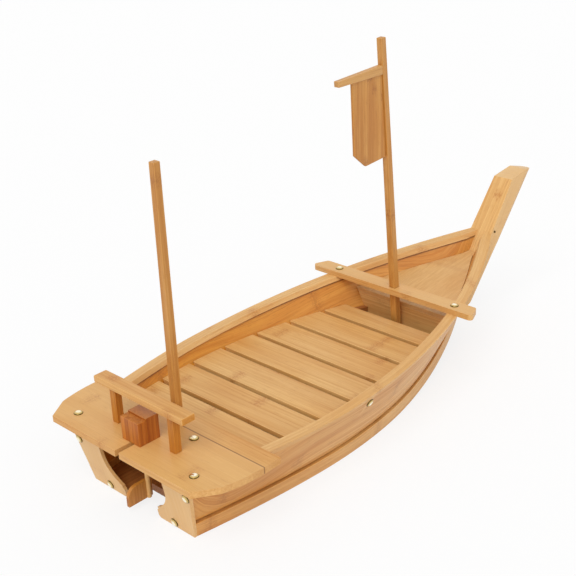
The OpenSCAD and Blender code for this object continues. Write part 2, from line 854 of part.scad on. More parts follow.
module crossbar() {
    color(pale_wood)
        in_frame()
        difference() {
            translate([bar_at, bar_shift, bar_under])
                linear_extrude(bar_t)
                    polygon(rounded([
                        [0, -bar_half],
                        [bar_w, -bar_fore_half],
                        [bar_w, bar_fore_half],
                        [0, bar_half]
                    ], bar_corner_r));
            on_bow_mast()
                mast_body(bow_mast_side + 2 * mast_gap, bow_mast_side + 2 * mast_gap,
                    -4 * bar_t, 4 * bar_t);
            bar_nail_places() nail_hole();
            starboard() bar_nail_places() nail_hole();
        }
}

// Masts: square, tapering above the board that they pass through
module mast_body(side, head_side, from, to) {
    intersection() {
        rotate([90, 0, 0])
            linear_extrude(side + 2 * cut_past, center = true)
                mast_face(side, head_side, from, to);
        rotate([90, 0, 90])
            linear_extrude(side + 2 * cut_past, center = true)
                mast_face(side, head_side, from, to);
    }
}

module mast_face(side, head_side, from, to) {
    polygon([
        [-side / 2, from],
        [side / 2, from],
        [side / 2, max(from, 0)],
        [head_side / 2, to],
        [-head_side / 2, to],
        [-side / 2, max(from, 0)]
    ]);
}

module on_bow_mast() {
    translate([bow_mast_at, 0, bar_top])
        rotate([0, -bow_mast_rake, 0])
        children();
}

// Depth of the bow mast's foot below the crossbar's top, down to the bottom board
function foot_x(s) = bow_mast_at + bow_mast_side / 2 * cos(bow_mast_rake) + s * sin(bow_mast_rake);
function foot_depth(s = 70, n = 10) = n == 0
    ? s
    : foot_depth((bar_top + bow_mast_side / 2 * sin(bow_mast_rake) - fit_gap - bottom_top(foot_x(s)))
        / cos(bow_mast_rake), n - 1);

module bow_mast() {
    color(mast_wood)
        in_frame()
        on_bow_mast()
        mast_body(bow_mast_side, bow_mast_head_side, -foot_depth(), bow_mast_length);
}

function bow_mast_half(s) = mix(bow_mast_side, bow_mast_head_side, s / bow_mast_length) / 2;

// Underside of the level yard at a distance behind the mast's axis, along the mast
function yard_under(back) = yard_at + (back - bow_mast_half(yard_at)) * tan(bow_mast_rake);

module yard() {
    color(mast_wood)
        in_frame()
        on_bow_mast()
        rotate([90, 0, 0])
        linear_extrude(yard_w, center = true)
            polygon([
                [-bow_mast_half(yard_at), yard_at],
                [-bow_mast_half(yard_at + yard_h), yard_at + yard_h],
                [-yard_length, yard_under(yard_length) + yard_tip_h],
                [-yard_length, yard_under(yard_length)]
            ]);
}

module sail_board() {
    sail_foot = yard_at - sail_h;
    sail_aft = bow_mast_half(sail_foot) + sail_w;
    head_aft = bow_mast_half(yard_at) + sail_head_w;
    color(mast_wood)
        in_frame()
        on_bow_mast()
        rotate([90, 0, 0])
        linear_extrude(sail_t, center = true)
            polygon([
                [-bow_mast_half(yard_at), yard_at],
                [-head_aft, yard_under(head_aft)],
                [-sail_aft, sail_foot + sail_corner],
                [sail_corner - sail_aft, sail_foot],
                [-bow_mast_half(sail_foot), sail_foot]
            ]);
}

module stern_mast() {
    color(mast_wood)
        in_frame()
        translate([stern_mast_at, 0, deck_height])
        mast_body(stern_mast_side, stern_mast_head_side,
            bottom_top(stern_mast_at) - deck_height, stern_mast_height - deck_height);
}

// Stern rail: two posts on the deck and a beam across them
post_at = beam_at + (beam_w - post_l) / 2;

module rail_post(side) {
    color(mast_wood)
        in_frame()
        translate([post_at, side * post_spacing / 2 - post_w / 2, deck_height])
        cube([post_l, post_w, post_h]);
}

module rail_beam() {
    color(pale_wood)
        in_frame()
        translate([beam_at, -beam_length / 2, deck_height + post_h])
        cube([beam_w, beam_length, beam_t]);
}

// Rudder: head of slab and block on the deck, round stock through the slot, blade below
module rudder_head_slab() {
    color(dark_wood)
        in_frame()
        translate([head_at, head_shift - head_w / 2, deck_height])
        cube([head_slab_l, head_w, head_slab_h]);
}

module stock_bore(from, to) {
    translate([stock_at, 0, from])
        cylinder(d = stock_d + 2 * bore_gap, h = to - from);
}

module rudder_head_block() {
    color(dark_wood)
        in_frame()
        difference() {
            translate([head_at + head_slab_l, head_shift - head_w / 2, deck_height])
                cube([head_block_l, head_w, head_block_h]);
            stock_bore(deck_height - cut_past, deck_height + stock_socket);
        }
}

module rudder_stock() {
    color(pale_wood)
        in_frame()
        translate([stock_at, 0, stock_foot])
        cylinder(d = stock_d, h = deck_height + stock_socket - stock_foot);
}

module rudder_blade() {
    color(dark_wood)
        in_frame()
        difference() {
            translate([0, blade_t, 0])
                rotate([90, 0, 0])
                linear_extrude(blade_t)
                    translate([blade_at, blade_foot])
                    union() {
                        square([blade_l, blade_h - blade_r]);
                        translate([blade_r, 0])
                            square([blade_l - blade_r, blade_h]);
                        translate([blade_r, blade_h - blade_r])
                            intersection() {
                                circle(r = blade_r);
                                translate([-blade_r, 0])
                                    square(blade_r);
                            }
                    }
            stock_bore(0, deck_under);
        }
}

// Nails: a dome on a shank, drawn on the port side and mirrored where they come in pairs
dome_r = (pow(nail_d / 2, 2) + nail_h * nail_h) / (2 * nail_h);
module nail(length = shank_l) {
    rotate_extrude() {
        intersection() {
            translate([0, nail_h - dome_r])
                circle(r = dome_r, $fn = 96);
            square(nail_d);
        }
        translate([0, -length])
            square([shank_d / 2, length + nail_h / 2]);
    }
}

module nail_hole(length = shank_l) {
    translate([0, 0, -length - bore_gap])
        cylinder(d = shank_d + 2 * bore_gap, h = length + bore_gap + nail_h);
}

module deck_nail_places() {
    translate([deck_nail_at, outer_half(deck_nail_at, deck_under) - deck_nail_inset, deck_height])
        children();
}

module bulkhead_nail_places() {
    for (side = [-1, 1])
        translate([stern_bulkhead_at + stern_bulkhead_t / 2, side * bulkhead_nail_spacing / 2, deck_height])
            children();
}

transom_nail_half = outer_half(transom_face(transom_nail_height), transom_nail_height) - transom_nail_inset;
module upper_transom_nail_places() {
    translate([transom_aft(transom_nail_height), transom_nail_half, transom_nail_height])
        rotate([0, -90 - transom_rake, 0])
        children();
}

// The lower nails' heads just clear the foot of the transom
foot_nail_height = nail_d / 2 + bottom_lift;
module foot_nail_places() {
    translate([transom_aft(foot_nail_height), foot_nail_spacing / 2, foot_nail_height])
        rotate([0, -90 - transom_rake, 0])
        children();
}

module bar_nail_places() {
    translate([bar_at + bar_w / 2, top_half(bar_at + bar_w / 2) - bar_nail_inset, bar_top])
        children();
}

// The side nails stand square to the slanting plank
side_nail_height = sheer(side_nail_at) - side_nail_drop;
side_along = outer_half(side_nail_at + 1, side_nail_height) - outer_half(side_nail_at, side_nail_height);
side_up = outer_half(side_nail_at, side_nail_height + 1) - outer_half(side_nail_at, side_nail_height);
module side_nail_place() {
    translate([side_nail_at, outer_half(side_nail_at, side_nail_height), side_nail_height])
        rotate([-acos(-side_up / sqrt(1 + side_along * side_along + side_up * side_up)), 0,
            atan2(side_along, 1)])
        children();
}

module pin_place() {
    translate([stem_face(sheer(hull_length)) + pin_from_face, stem_w / 2, sheer(hull_length)])
        rotate([90, 0, 0])
        children();
}

module pin(d, l) {
    translate([0, 0, -cut_past])
        cylinder(d = d, h = l + cut_past);
}

module deck_nails() {
    color(brass)
        in_frame() {
            deck_nail_places() nail();
            starboard() deck_nail_places() nail();
            bulkhead_nail_places() nail();
        }
}

module transom_nails() {
    color(brass)
        in_frame() {
            upper_transom_nail_places() nail(transom_shank_l);
            foot_nail_places() nail(transom_shank_l);
            starboard() {
                upper_transom_nail_places() nail(transom_shank_l);
                foot_nail_places() nail(transom_shank_l);
            }
        }
}

module crossbar_nails() {
    color(brass)
        in_frame() {
            bar_nail_places() nail();
            starboard() bar_nail_places() nail();
        }
}

module side_nails() {
    color(brass)
        in_frame() {
            side_nail_place() nail(side_shank_l);
            starboard() side_nail_place() nail(side_shank_l);
        }
}

module stem_pins() {
    color(brass)
        in_frame() {
            pin_place() pin(pin_d, pin_l);
            starboard() pin_place() pin(pin_d, pin_l);
        }
}

side_plank_port();
side_plank_starboard();
lower_rail_port();
lower_rail_starboard();
gunwale_cap_port();
gunwale_cap_starboard();
transom_port();
transom_starboard();
stern_bulkhead();
bottom_board();
stem_post();
fore_bulkhead();
fore_deck();
aft_deck();
forward_strip();
floor_ledge_port();
floor_ledge_starboard();
floor_slat(1);  // floor_slat_1
floor_slat(2);  // floor_slat_2
floor_slat(3);  // floor_slat_3
floor_slat(4);  // floor_slat_4
floor_slat(5);  // floor_slat_5
floor_slat(6);  // floor_slat_6
floor_slat(7);  // floor_slat_7
crossbar();
bow_mast();
yard();
sail_board();
stern_mast();
rail_post(1);  // rail_post_port
rail_post(-1);  // rail_post_starboard
rail_beam();
rudder_head_slab();
rudder_head_block();
rudder_stock();
rudder_blade();
deck_nails();
transom_nails();
crossbar_nails();
side_nails();
stem_pins();
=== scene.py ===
import math

import bmesh
import bpy
import numpy as np
from mathutils import Matrix, Vector


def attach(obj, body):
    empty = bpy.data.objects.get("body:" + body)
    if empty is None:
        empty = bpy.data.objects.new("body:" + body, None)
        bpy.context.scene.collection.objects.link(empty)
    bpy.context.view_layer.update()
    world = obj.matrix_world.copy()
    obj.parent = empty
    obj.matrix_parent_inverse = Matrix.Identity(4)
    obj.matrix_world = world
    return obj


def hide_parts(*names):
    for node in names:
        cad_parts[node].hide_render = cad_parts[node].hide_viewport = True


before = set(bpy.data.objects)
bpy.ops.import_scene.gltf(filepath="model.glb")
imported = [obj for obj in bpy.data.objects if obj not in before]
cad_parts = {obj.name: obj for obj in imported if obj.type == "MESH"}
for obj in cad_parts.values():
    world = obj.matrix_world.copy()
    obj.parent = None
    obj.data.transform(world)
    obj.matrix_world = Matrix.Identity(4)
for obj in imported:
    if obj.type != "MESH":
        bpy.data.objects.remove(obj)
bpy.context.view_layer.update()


# Side planks: two flat bamboo boards, steamed and bent from the transom to the stem. They
# are glued up from wide strips, planed and eased along every edge. Their grain follows
# the bend of the board. Their colour deepens towards the stern, partly the wood's own tone
# and partly painted shade from the overhanging deck. Their inside is coloured deeper as
# painted shade, and a painted shadow runs inside as a dark line under the caps' lip.
def from_srgb(red, green, blue):
    def linear(level):
        share = level / 255
        return share / 12.92 if share <= 0.04045 else ((share + 0.055) / 1.055) ** 2.4
    return (linear(red), linear(green), linear(blue), 1)


class Wire:
    """The output of a shader node, on which sums are written as on a number."""

    def __init__(self, finish, socket):
        self.finish, self.socket = finish, socket

    def sum(self, operation, *values):
        return self.finish.node("ShaderNodeMath", "Value", {"operation": operation}, *values)

    def __add__(self, other):
        return self.sum("ADD", self, other)

    def __sub__(self, other):
        return self.sum("SUBTRACT", self, other)

    def __rsub__(self, other):
        return self.sum("SUBTRACT", other, self)

    def __mul__(self, other):
        return self.sum("MULTIPLY", self, other)

    __radd__, __rmul__ = __add__, __mul__

    def floor(self):
        return self.sum("FLOOR", self)

    def part(self):
        return self.sum("FRACT", self)

    def size(self):
        return self.sum("ABSOLUTE", self)

    def ramp(self, low, high, to_low=0.0, to_high=1.0, shape="SMOOTHSTEP"):
        return self.finish.node(
            "ShaderNodeMapRange", "Result", {"interpolation_type": shape},
            self, low, high, to_low, to_high)


FINISH_END = "_finish"


class Finish:
    """A material of shader nodes with a Principled surface, named with the ending _finish."""

    def __init__(self, name):
        self.material = bpy.data.materials.new(name + FINISH_END)
        self.material.use_nodes = True
        self.tree = self.material.node_tree
        self.surface = self.tree.nodes["Principled BSDF"]

    def node(self, kind, output, settings=None, *values, **named):
        made = self.tree.nodes.new(kind)
        for key, value in (settings or {}).items():
            setattr(made, key, value)
        for place, value in enumerate(values):
            self.put(made.inputs[place], value)
        for key, value in named.items():
            self.put(made.inputs[key.replace("_", " ")], value)
        return Wire(self, made.outputs[output])

    def put(self, socket, value):
        if isinstance(value, Wire):
            self.tree.links.new(value.socket, socket)
        elif value is not None:
            socket.default_value = value

    def attribute(self, name, output="Vector"):
        return self.node("ShaderNodeAttribute", output, {"attribute_name": name})

    def parts_of(self, vector):
        split = self.node("ShaderNodeSeparateXYZ", 0, None, vector)
        return [Wire(self, out) for out in split.socket.node.outputs]

    def vector(self, x, y, z):
        return self.node("ShaderNodeCombineXYZ", 0, None, x, y, z)

    def noise(self, vector, detail=2.0, roughness=0.5, scale=1.0):
        return self.node("ShaderNodeTexNoise", "Fac", None, Vector=vector, Scale=scale,
                         Detail=detail, Roughness=roughness)

    def tint(self, factor, under, over, blend="MIX"):
        settings = {"data_type": "RGBA", "blend_type": blend, "clamp_factor": True}
        made = self.node("ShaderNodeMix", 2, settings, factor)
        self.put(made.socket.node.inputs[6], under)
        self.put(made.socket.node.inputs[7], over)
        return made

    def surface_is(self, **sockets):
        for key, value in sockets.items():
            self.put(self.surface.inputs[key.replace("_", " ")], value)


KNUCKLE_EVERY = 0.205
KNUCKLE_REACH = 0.009
SEAM_LINE = (0.478, 0.496, 0, 0.26)
GOLDEN = (0.88, 0.63, 0.16, 1)
GOLDEN_CLOUD = (0.92, 0.74, 0.42, 1)
ASHEN = (0.64, 0.52, 0.36)
ASHEN_SHARE = 0.28
JOINT_AND_LIP_SHADE_LINE = (0.0003, 0.0008, 0.7, 0)
GLUE_AND_LIP_SHADE_BROWN = from_srgb(104, 56, 18)
GRAIN_DEPTH = 0.0006


def bamboo(name, light, deep, knuckle, strip_shade=0.10, gloss=0.46, marks=1.0):
    """Lacquered bamboo: strips that differ in shade, long fibres, flecks and knuckles, with
    end grain, worn edges, a tone from golden to ashen, and dark lines along the glue joints
    and, as painted shade, under a lip."""
    finish = Finish(name)
    along, across, through = finish.parts_of(finish.attribute("grain"))
    strip_a, strip_b, seed = finish.parts_of(finish.attribute("strips"))
    cell = finish.vector(strip_a.floor(), strip_b.floor(), seed)
    chance = finish.node("ShaderNodeTexWhiteNoise", "Color", {"noise_dimensions": "3D"}, cell)
    shade, place, warmth = finish.parts_of(chance)

    def fibres(stretch, fine, detail=3.0):
        shift = shade * 0.37
        return finish.noise(
            finish.vector(along * stretch + shift, across * fine, through * fine), detail)

    broad = fibres(5, 70, 2.0)
    streaks = fibres(9, 420)
    fine = fibres(26, 1500, 2.0)
    flecks = fibres(90, 1100, 1.0)

    depth = broad.ramp(0.3, 0.72, 0, 0.45) + streaks.ramp(0.32, 0.7, 0, 0.62)
    depth = depth + (shade - 0.5) * (strip_shade * 4)
    colour = finish.tint(depth, light, deep)
    colour = finish.tint(fine.ramp(0.42, 0.66, 0, 0.46), colour, deep)
    colour = finish.tint(warmth * 0.12, colour, knuckle)
    colour = finish.tint(flecks.ramp(0.58, 0.74, 0, 0.3), colour, knuckle)

    reach = ((along * (1 / KNUCKLE_EVERY) + place).part() - 0.5).size() * KNUCKLE_EVERY
    blur = finish.noise(finish.vector(along * 150, across * 260, through * 260), 2.0)
    patch = (reach + (blur - 0.5) * 0.012).ramp(KNUCKLE_REACH * 0.2, KNUCKLE_REACH, 1, 0)
    dots = finish.noise(finish.vector(along * 420, across * 1000, through * 1000), 2.0)
    mottle = patch * dots.ramp(0.4, 0.62, 0.1, 0.6) * marks
    line = (reach + (blur - 0.5) * 0.003).ramp(0.0003, 0.0014, 0.3 * marks, 0)
    colour = finish.tint(mottle, colour, knuckle)
    colour = finish.tint(line, colour, knuckle)

    seam_a = (strip_a.part() - 0.5).size().ramp(*SEAM_LINE)
    seam_b = (strip_b.part() - 0.5).size().ramp(*SEAM_LINE)
    seam = seam_a.sum("MAXIMUM", seam_a, seam_b)
    colour = finish.tint(seam, colour, knuckle)

    end = finish.attribute("end", "Fac")
    pores = finish.noise(finish.vector(along * 700, across * 1100, through * 1100), 2.0)
    cut = finish.tint(pores.ramp(0.4, 0.68, 0.3, 0.62), light, knuckle)
    colour = finish.tint(end * 0.4, colour, cut)
    worn = finish.attribute("worn", "Fac")
    colour = finish.tint(worn * streaks.ramp(0.35, 0.65, 0.15, 0.5), colour, light)

    tone = finish.attribute("tone", "Fac")
    paler = tuple((1 - ASHEN_SHARE) * level + ASHEN_SHARE * ashen
                  for level, ashen in zip(light, ASHEN))
    colour = finish.tint(tone.ramp(0, 1, 0, 0.85, "LINEAR"), colour, paler + (1,))
    colour = finish.tint(tone.ramp(-1, 0, 1, 0, "LINEAR"), colour, GOLDEN, "MULTIPLY")
    cloud = finish.noise(finish.vector(along * 9, across * 16, seed), 1.0)
    colour = finish.tint(cloud.ramp(0.42, 0.74, 0, 0.4), colour, GOLDEN_CLOUD, "MULTIPLY")
    # Dark brown lines: glue along the decks' joint, and a painted shadow on the planks' inside
    # under the caps' lip.
    joint_and_lip_shade = (finish.attribute("joint_and_lip_shade", "Fac") - 1).size()
    colour = finish.tint(joint_and_lip_shade.ramp(*JOINT_AND_LIP_SHADE_LINE), colour, GLUE_AND_LIP_SHADE_BROWN)

    height = fine * 0.4 + streaks * 0.6 - seam * 0.8 - line * 0.4
    bump = finish.node("ShaderNodeBump", "Normal", None, Strength=0.16,
                       Distance=GRAIN_DEPTH, Height=height)
    finish.surface_is(
        Base_Color=colour, Normal=bump, IOR=1.47, Coat_Roughness=0.32,
        Roughness=gloss + streaks * 0.12 - worn * 0.06,
        Coat_Weight=streaks.ramp(0.3, 0.7, 0.16, 0.06))
    return finish.material


SAME_POINT = 2e-6
FLAT_ANGLE = math.radians(0.4)
CORNER_ANGLE = math.radians(27)
SHARP_ANGLE = math.radians(40)


def eased(bm, width):
    """Joins what is flat and rounds every outer corner."""
    bmesh.ops.remove_doubles(bm, verts=bm.verts, dist=SAME_POINT)
    bmesh.ops.dissolve_limit(bm, angle_limit=FLAT_ANGLE, verts=bm.verts, edges=bm.edges)
    corners = [e for e in bm.edges if len(e.link_faces) == 2 and e.is_convex
               and e.calc_face_angle(0) > CORNER_ANGLE]
    bmesh.ops.bevel(bm, geom=corners, offset=width, offset_type="OFFSET", segments=2,
                    profile=0.5, affect="EDGES", clamp_overlap=True, material=-1)
    bm.normal_update()


def keep_piece(bm, name, node, material):
    """Puts a finished mesh in the scene in place of a node, on the boat's one body."""
    mesh = bpy.data.meshes.new(name)
    for face in bm.faces:
        face.smooth = True
    for edge in bm.edges:
        edge.smooth = edge.calc_face_angle(0) < SHARP_ANGLE
    bm.to_mesh(mesh)
    bm.free()
    piece = bpy.data.objects.new(name, mesh)
    bpy.context.scene.collection.objects.link(piece)
    mesh.materials.append(material)
    flat = piece.modifiers.new("flat faces stay flat", "WEIGHTED_NORMAL")
    flat.keep_sharp = True
    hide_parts(node)
    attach(piece, "root")
    return piece


made_boards = 0
BENT_SHARE = 0.15
TONE_REACH = 0.308
TONE_RISE = 0.4


def board(node, material, along, across, strips, edge=0.0006, bend=None, tone=(0, 0),
          inside=0.0, butt=0.0):
    """A wooden piece with its edges eased and its grain laid: along and across are the
    directions of the grain and of the glued strips, strips their width and their depth,
    and bend the axis in which the strips of a bent piece lie side by side. The tone runs
    from the stern to the bow, paler above 0 and deeper below, with a share for the inside
    and one for the end grain."""
    global made_boards
    made_boards += 1
    bm = bmesh.new()
    bm.from_mesh(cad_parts[node].data)
    eased(bm, edge)
    narrow = [f.calc_area() > 0 and shortest_side(f) < 1.3 * edge for f in bm.faces]
    ways = Matrix((Vector(along).normalized(), Vector(across).normalized(),
                   Vector(along).cross(Vector(across)).normalized()))
    ends = [abs(f.normal.dot(ways[0])) > 0.85 for f in bm.faces]
    run = [((f.calc_center_median().x + TONE_REACH) / (2 * TONE_REACH)) ** TONE_RISE
           for f in bm.faces]
    inner = [f.normal.y * f.calc_center_median().y < 0 and abs(f.normal.y) > 0.4
             for f in bm.faces]
    tones = [tone[0] + (tone[1] - tone[0]) * share + inside * hidden + butt * cut
             for share, hidden, cut in zip(run, inner, ends)]
    piece = keep_piece(bm, node + "_board", node, material)
    mesh = piece.data
    points = np.array([v.co for v in mesh.vertices])
    laid = points @ np.array(ways).T
    if bend is not None:
        x, y, z = points[:, 0], np.abs(points[:, 1]), points[:, 2]
        middle = [x ** power for power in range(7)]
        if bend == 2:
            level = z - fitted(middle, z)
            laid[:, 1] = level
            width = y - fitted(middle + [level * x ** power for power in range(5)], y)
        else:
            laid[:, 1] = y - fitted(middle, y)
            width = z - fitted(middle, z)
        laid[:, 2] = width * BENT_SHARE
    else:
        laid[:, 2] -= laid[:, 2].min()
    seed = 0.0731 * made_boards
    laid[:, 0] += seed * 3
    strip = np.c_[laid[:, 1] / strips[0] + seed, laid[:, 2] / strips[1] + 0.5,
                  np.full(len(laid), made_boards)]
    for name, values in (("grain", laid), ("strips", strip)):
        layer = mesh.attributes.new(name, "FLOAT_VECTOR", "POINT")
        layer.data.foreach_set("vector", values.astype(np.float32).ravel())
    for name, marks in (("end", ends), ("worn", narrow), ("tone", tones)):
        layer = mesh.attributes.new(name, "FLOAT", "FACE")
        layer.data.foreach_set("value", np.array(marks, np.float32))
    return piece


def fitted(columns, values):
    """The smooth course of some values along a bent piece, by least squares."""
    base = np.stack(columns, axis=1)
    return base @ np.linalg.lstsq(base, values, rcond=None)[0]


def shortest_side(face):
    return min(e.calc_length() for e in face.edges)


AHEAD, TO_PORT, UP = (1, 0, 0), (0, 1, 0), (0, 0, 1)
SHADE_SPREAD = 4
wall_wood = bamboo("wall_wood", from_srgb(233, 189, 122), from_srgb(207, 149, 82),
                   from_srgb(156, 96, 42), marks=0.6)
for side in ("port", "starboard"):
    # Painted shade: the tone runs deep at the stern, partly the wood's own and partly the
    # shade of the deck's overhang, and the inside faces are coloured deeper as shade.
    plank = board("side_plank_" + side, wall_wood, AHEAD, UP, (0.0215, 0.04), bend=2,
                  tone=(-1.0, 0.3), inside=-0.8).data
    # Painted shadow: a dark line on each plank's inside face just under the cap's lip, set by
    # the depth below the plank's top.
    upper = {v for f in plank.polygons if f.normal.z > 0.8 for v in f.vertices}
    upper = np.array([plank.vertices[v].co for v in upper])
    top_line = np.polyfit(upper[:, 0], upper[:, 2], 6)
    below = plank.attributes.new("joint_and_lip_shade", "FLOAT", "CORNER").data
    for face in plank.polygons:
        if face.normal.y * face.center.y < 0 and abs(face.normal.y) > 0.4:
            for loop, v in zip(face.loop_indices, face.vertices):
                x, y, z = plank.vertices[v].co
                below[loop].value = 1 + abs(np.polyval(top_line, x) - z) / SHADE_SPREAD


# Lower rails: stouter strips under the planks, planed to a lean outside, that carry the
# boat and leave a dark groove below each plank.
for side in ("port", "starboard"):
    board("lower_rail_" + side, wall_wood, AHEAD, UP, (0.03, 0.04), edge=0.0008, bend=2,
          tone=(-0.8, 0.25))


# Bottom board and bulkheads: unseen inner boards that keep the planks apart, glued and
# nailed between the planks. The bottom board and the stern bulkhead are coloured in a
# browner wood as painted shade for the dark inside under the decks. The fore bulkhead
# is of the planks' wood.
inner_wood = bamboo("inner_wood", from_srgb(178, 116, 58), from_srgb(142, 82, 34),
                    from_srgb(104, 54, 20))
board("bottom_board", inner_wood, AHEAD, TO_PORT, (0.02, 0.03))
board("stern_bulkhead", inner_wood, TO_PORT, UP, (0.02, 0.03))
board("fore_bulkhead", wall_wood, TO_PORT, UP, (0.022, 0.03))


# Transom: two raked cheeks beside an open arch, sawn from a board with upright grain and
# nailed to the ends of the planks.
pale_wood = bamboo("pale_wood", from_srgb(228, 184, 118), from_srgb(206, 152, 84),
                   from_srgb(176, 108, 44))
for side in ("port", "starboard"):
    board("transom_" + side, pale_wood, (-0.196, 0, 0.981), TO_PORT, (0.0195, 0.00153),
          tone=(0.5, 0.5))


# Stem: three thick laminations glued side by side, shaped to a blunt nose and cut at the
# head in two planes. The planks are let into its heel and pinned.
RAKE = math.radians(37.8)
stem = board("stem_post", pale_wood, (math.sin(RAKE), 0, math.cos(RAKE)), TO_PORT,
             (0.0098, 0.06), edge=0.0008, butt=0.6).data
for face in stem.polygons:
    stem.attributes["tone"].data[face.index].value += (
        0.65 if face.normal.z > 0.9 else 0.55 * abs(face.normal.y))


# Cap strips: bent strips glued on top of the planks, level with them outside and with a
# small lip inside.
for side in ("port", "starboard"):
    board("gunwale_cap_" + side, pale_wood, AHEAD, TO_PORT, (0.0135, 0.02), edge=0.0008,
          bend=1, tone=(0.3, 0.1))


# Decks: a rising deck of lengthwise strips in the bow, and at the stern a broad board with
# a slot for the rudder and a narrow strip before it. The grain of both runs across, and
# the glue shows as a dark line where they meet.
board("fore_deck", pale_wood, AHEAD, TO_PORT, (0.021, 0.03), tone=(0.4, 0.4))
DECK_JOINT = 0.0626 - 0.30538
for node, strip in (("aft_deck", 0.0212), ("forward_strip", 0.024)):
    deck = board(node, pale_wood, TO_PORT, AHEAD, (strip, 0.03), edge=0.0008,
                 tone=(-0.15, -0.15)).data
    deck.attributes.new("joint_and_lip_shade", "FLOAT", "POINT").data.foreach_set(
        "value", [1 + v.co.x - DECK_JOINT for v in deck.vertices])


# Floor: thin slats across the boat with gaps between them, on a ledge along each plank.
for side in ("port", "starboard"):
    # The ledges take the browner wood, as painted shade for the inside.
    board("floor_ledge_" + side, inner_wood, AHEAD, UP, (0.02, 0.02), bend=2)
for number in range(1, 8):
    board("floor_slat_%d" % number, pale_wood, TO_PORT, AHEAD, (0.0193, 0.03))


# Crossbar: a flat bar with rounded corners, seated in the cap strips and nailed, with a
# square hole for the bow mast.
board("crossbar", pale_wood, TO_PORT, AHEAD, (0.0192, 0.03), edge=0.0009)


# Bow mast with its yard and sail board, and the stern mast: square tapered sticks of a
# warmer, side-pressed wood whose narrow strips show on the sail board.
mast_wood = bamboo("mast_wood", from_srgb(214, 162, 88), from_srgb(186, 125, 52),
                   from_srgb(148, 84, 28), strip_shade=0.08, gloss=0.42)
LEAN = math.radians(4.3)
mast_way = (-math.sin(LEAN), 0, math.cos(LEAN))
board("bow_mast", mast_wood, mast_way, AHEAD, (0.03, 0.04), tone=(-0.15, -0.15))
board("yard", mast_wood, AHEAD, TO_PORT, (0.03, 0.04), tone=(0.25, 0.25))
board("sail_board", mast_wood, mast_way, AHEAD, (0.0066, 0.04), tone=(-0.3, -0.3))
board("stern_mast", mast_wood, UP, AHEAD, (0.03, 0.04), tone=(-0.15, -0.15))


# Stern rail: two short posts and a beam on top of them, glued.
for side in ("port", "starboard"):
    board("rail_post_" + side, mast_wood, UP, TO_PORT, (0.03, 0.04), tone=(-0.85, -0.85))
board("rail_beam", pale_wood, TO_PORT, AHEAD, (0.0143, 0.02), edge=0.0009,
      tone=(-0.25, -0.25), butt=-0.6)


# Rudder: a block and a slab of dark side-pressed wood above the deck, a dowel through
# them and down through the slot, and a thin blade on its foot.
dark_wood = bamboo("dark_wood", from_srgb(208, 138, 62), from_srgb(164, 92, 28),
                   from_srgb(116, 56, 12), strip_shade=0.24, gloss=0.44, marks=0.25)
board("rudder_head_block", dark_wood, UP, TO_PORT, (0.0079, 0.0074), tone=(-0.7, -0.7),
      butt=1.0)
board("rudder_head_slab", dark_wood, UP, TO_PORT, (0.0047, 0.0092), tone=(-0.6, -0.6),
      butt=0.4)
board("rudder_stock", pale_wood, UP, TO_PORT, (0.012, 0.012), edge=0.0004)
board("rudder_blade", mast_wood, UP, AHEAD, (0.0132, 0.02), edge=0.0004, tone=(-0.6, -0.6))


# Nails and pins: brass nails with a low, polished dome that stands on a thin rim, with
# painted shade that turns the outer half of each dome a darker gold and its edge dark
# brown all round, and two small pins at the stem coloured dark brown all over.
NAIL_HEAD = 0.0042
NAIL_HEIGHT = 0.002
NAIL_RIM = 0.0004
NAIL_SHANK = 0.001

brass_finish = Finish("brass")
spot = brass_finish.node("ShaderNodeTexCoord", "Object")
patina = brass_finish.noise(spot, 3.0, 0.6, 420.0)
scratch = brass_finish.noise(spot, 2.0, 0.7, 2600.0)
rim = brass_finish.attribute("rim", "Fac")
brass_colour = brass_finish.tint(patina.ramp(0.35, 0.7), from_srgb(255, 250, 230),
                                 from_srgb(250, 236, 196))
# Painted shade: the dome turns a darker gold towards its edge and dark brown at the edge all
# round.
brass_colour = brass_finish.tint((rim + patina * 0.2).ramp(0.5, 0.85), brass_colour,
                                 from_srgb(208, 178, 108))
brass_colour = brass_finish.tint((rim + patina * 0.16).ramp(0.88, 1.04, 0, 0.95), brass_colour,
                                 from_srgb(84, 62, 28))
brass_finish.surface_is(
    Base_Color=brass_colour, Metallic=1.0,
    Roughness=patina.ramp(0.3, 0.75, 0.16, 0.34),
    Normal=brass_finish.node("ShaderNodeBump", "Normal", None, Strength=0.12,
                             Distance=0.0002, Height=patina + scratch * 0.3))
brass = brass_finish.material


def nail_places(node):
    """Apex, outward direction and length of each nail in a node of nails."""
    bm = bmesh.new()
    bm.from_mesh(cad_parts[node].data)
    bmesh.ops.remove_doubles(bm, verts=bm.verts, dist=SAME_POINT)
    left, found = set(bm.verts), []
    while left:
        island, front = set(), [next(v for v in bm.verts if v in left)]
        while front:
            v = front.pop()
            if v not in island:
                island.add(v)
                front += [e.other_vert(v) for e in v.link_edges]
        left -= island
        points = np.array([v.co for v in bm.verts if v in island])
        middle = points.mean(0)
        sizes, ways = np.linalg.eigh(np.cov((points - middle).T))
        odd = 0 if sizes[1] - sizes[0] > sizes[2] - sizes[1] else 2
        way = ways[:, odd]
        heights = (points - middle) @ way
        spread = np.linalg.norm(points - middle - np.outer(heights, way), axis=1)
        if heights[spread > 0.7 * spread.max()].mean() < heights.mean():
            way, heights = -way, -heights
        found.append((middle + way * heights.max(), way, np.ptp(heights)))
    bm.free()
    return found


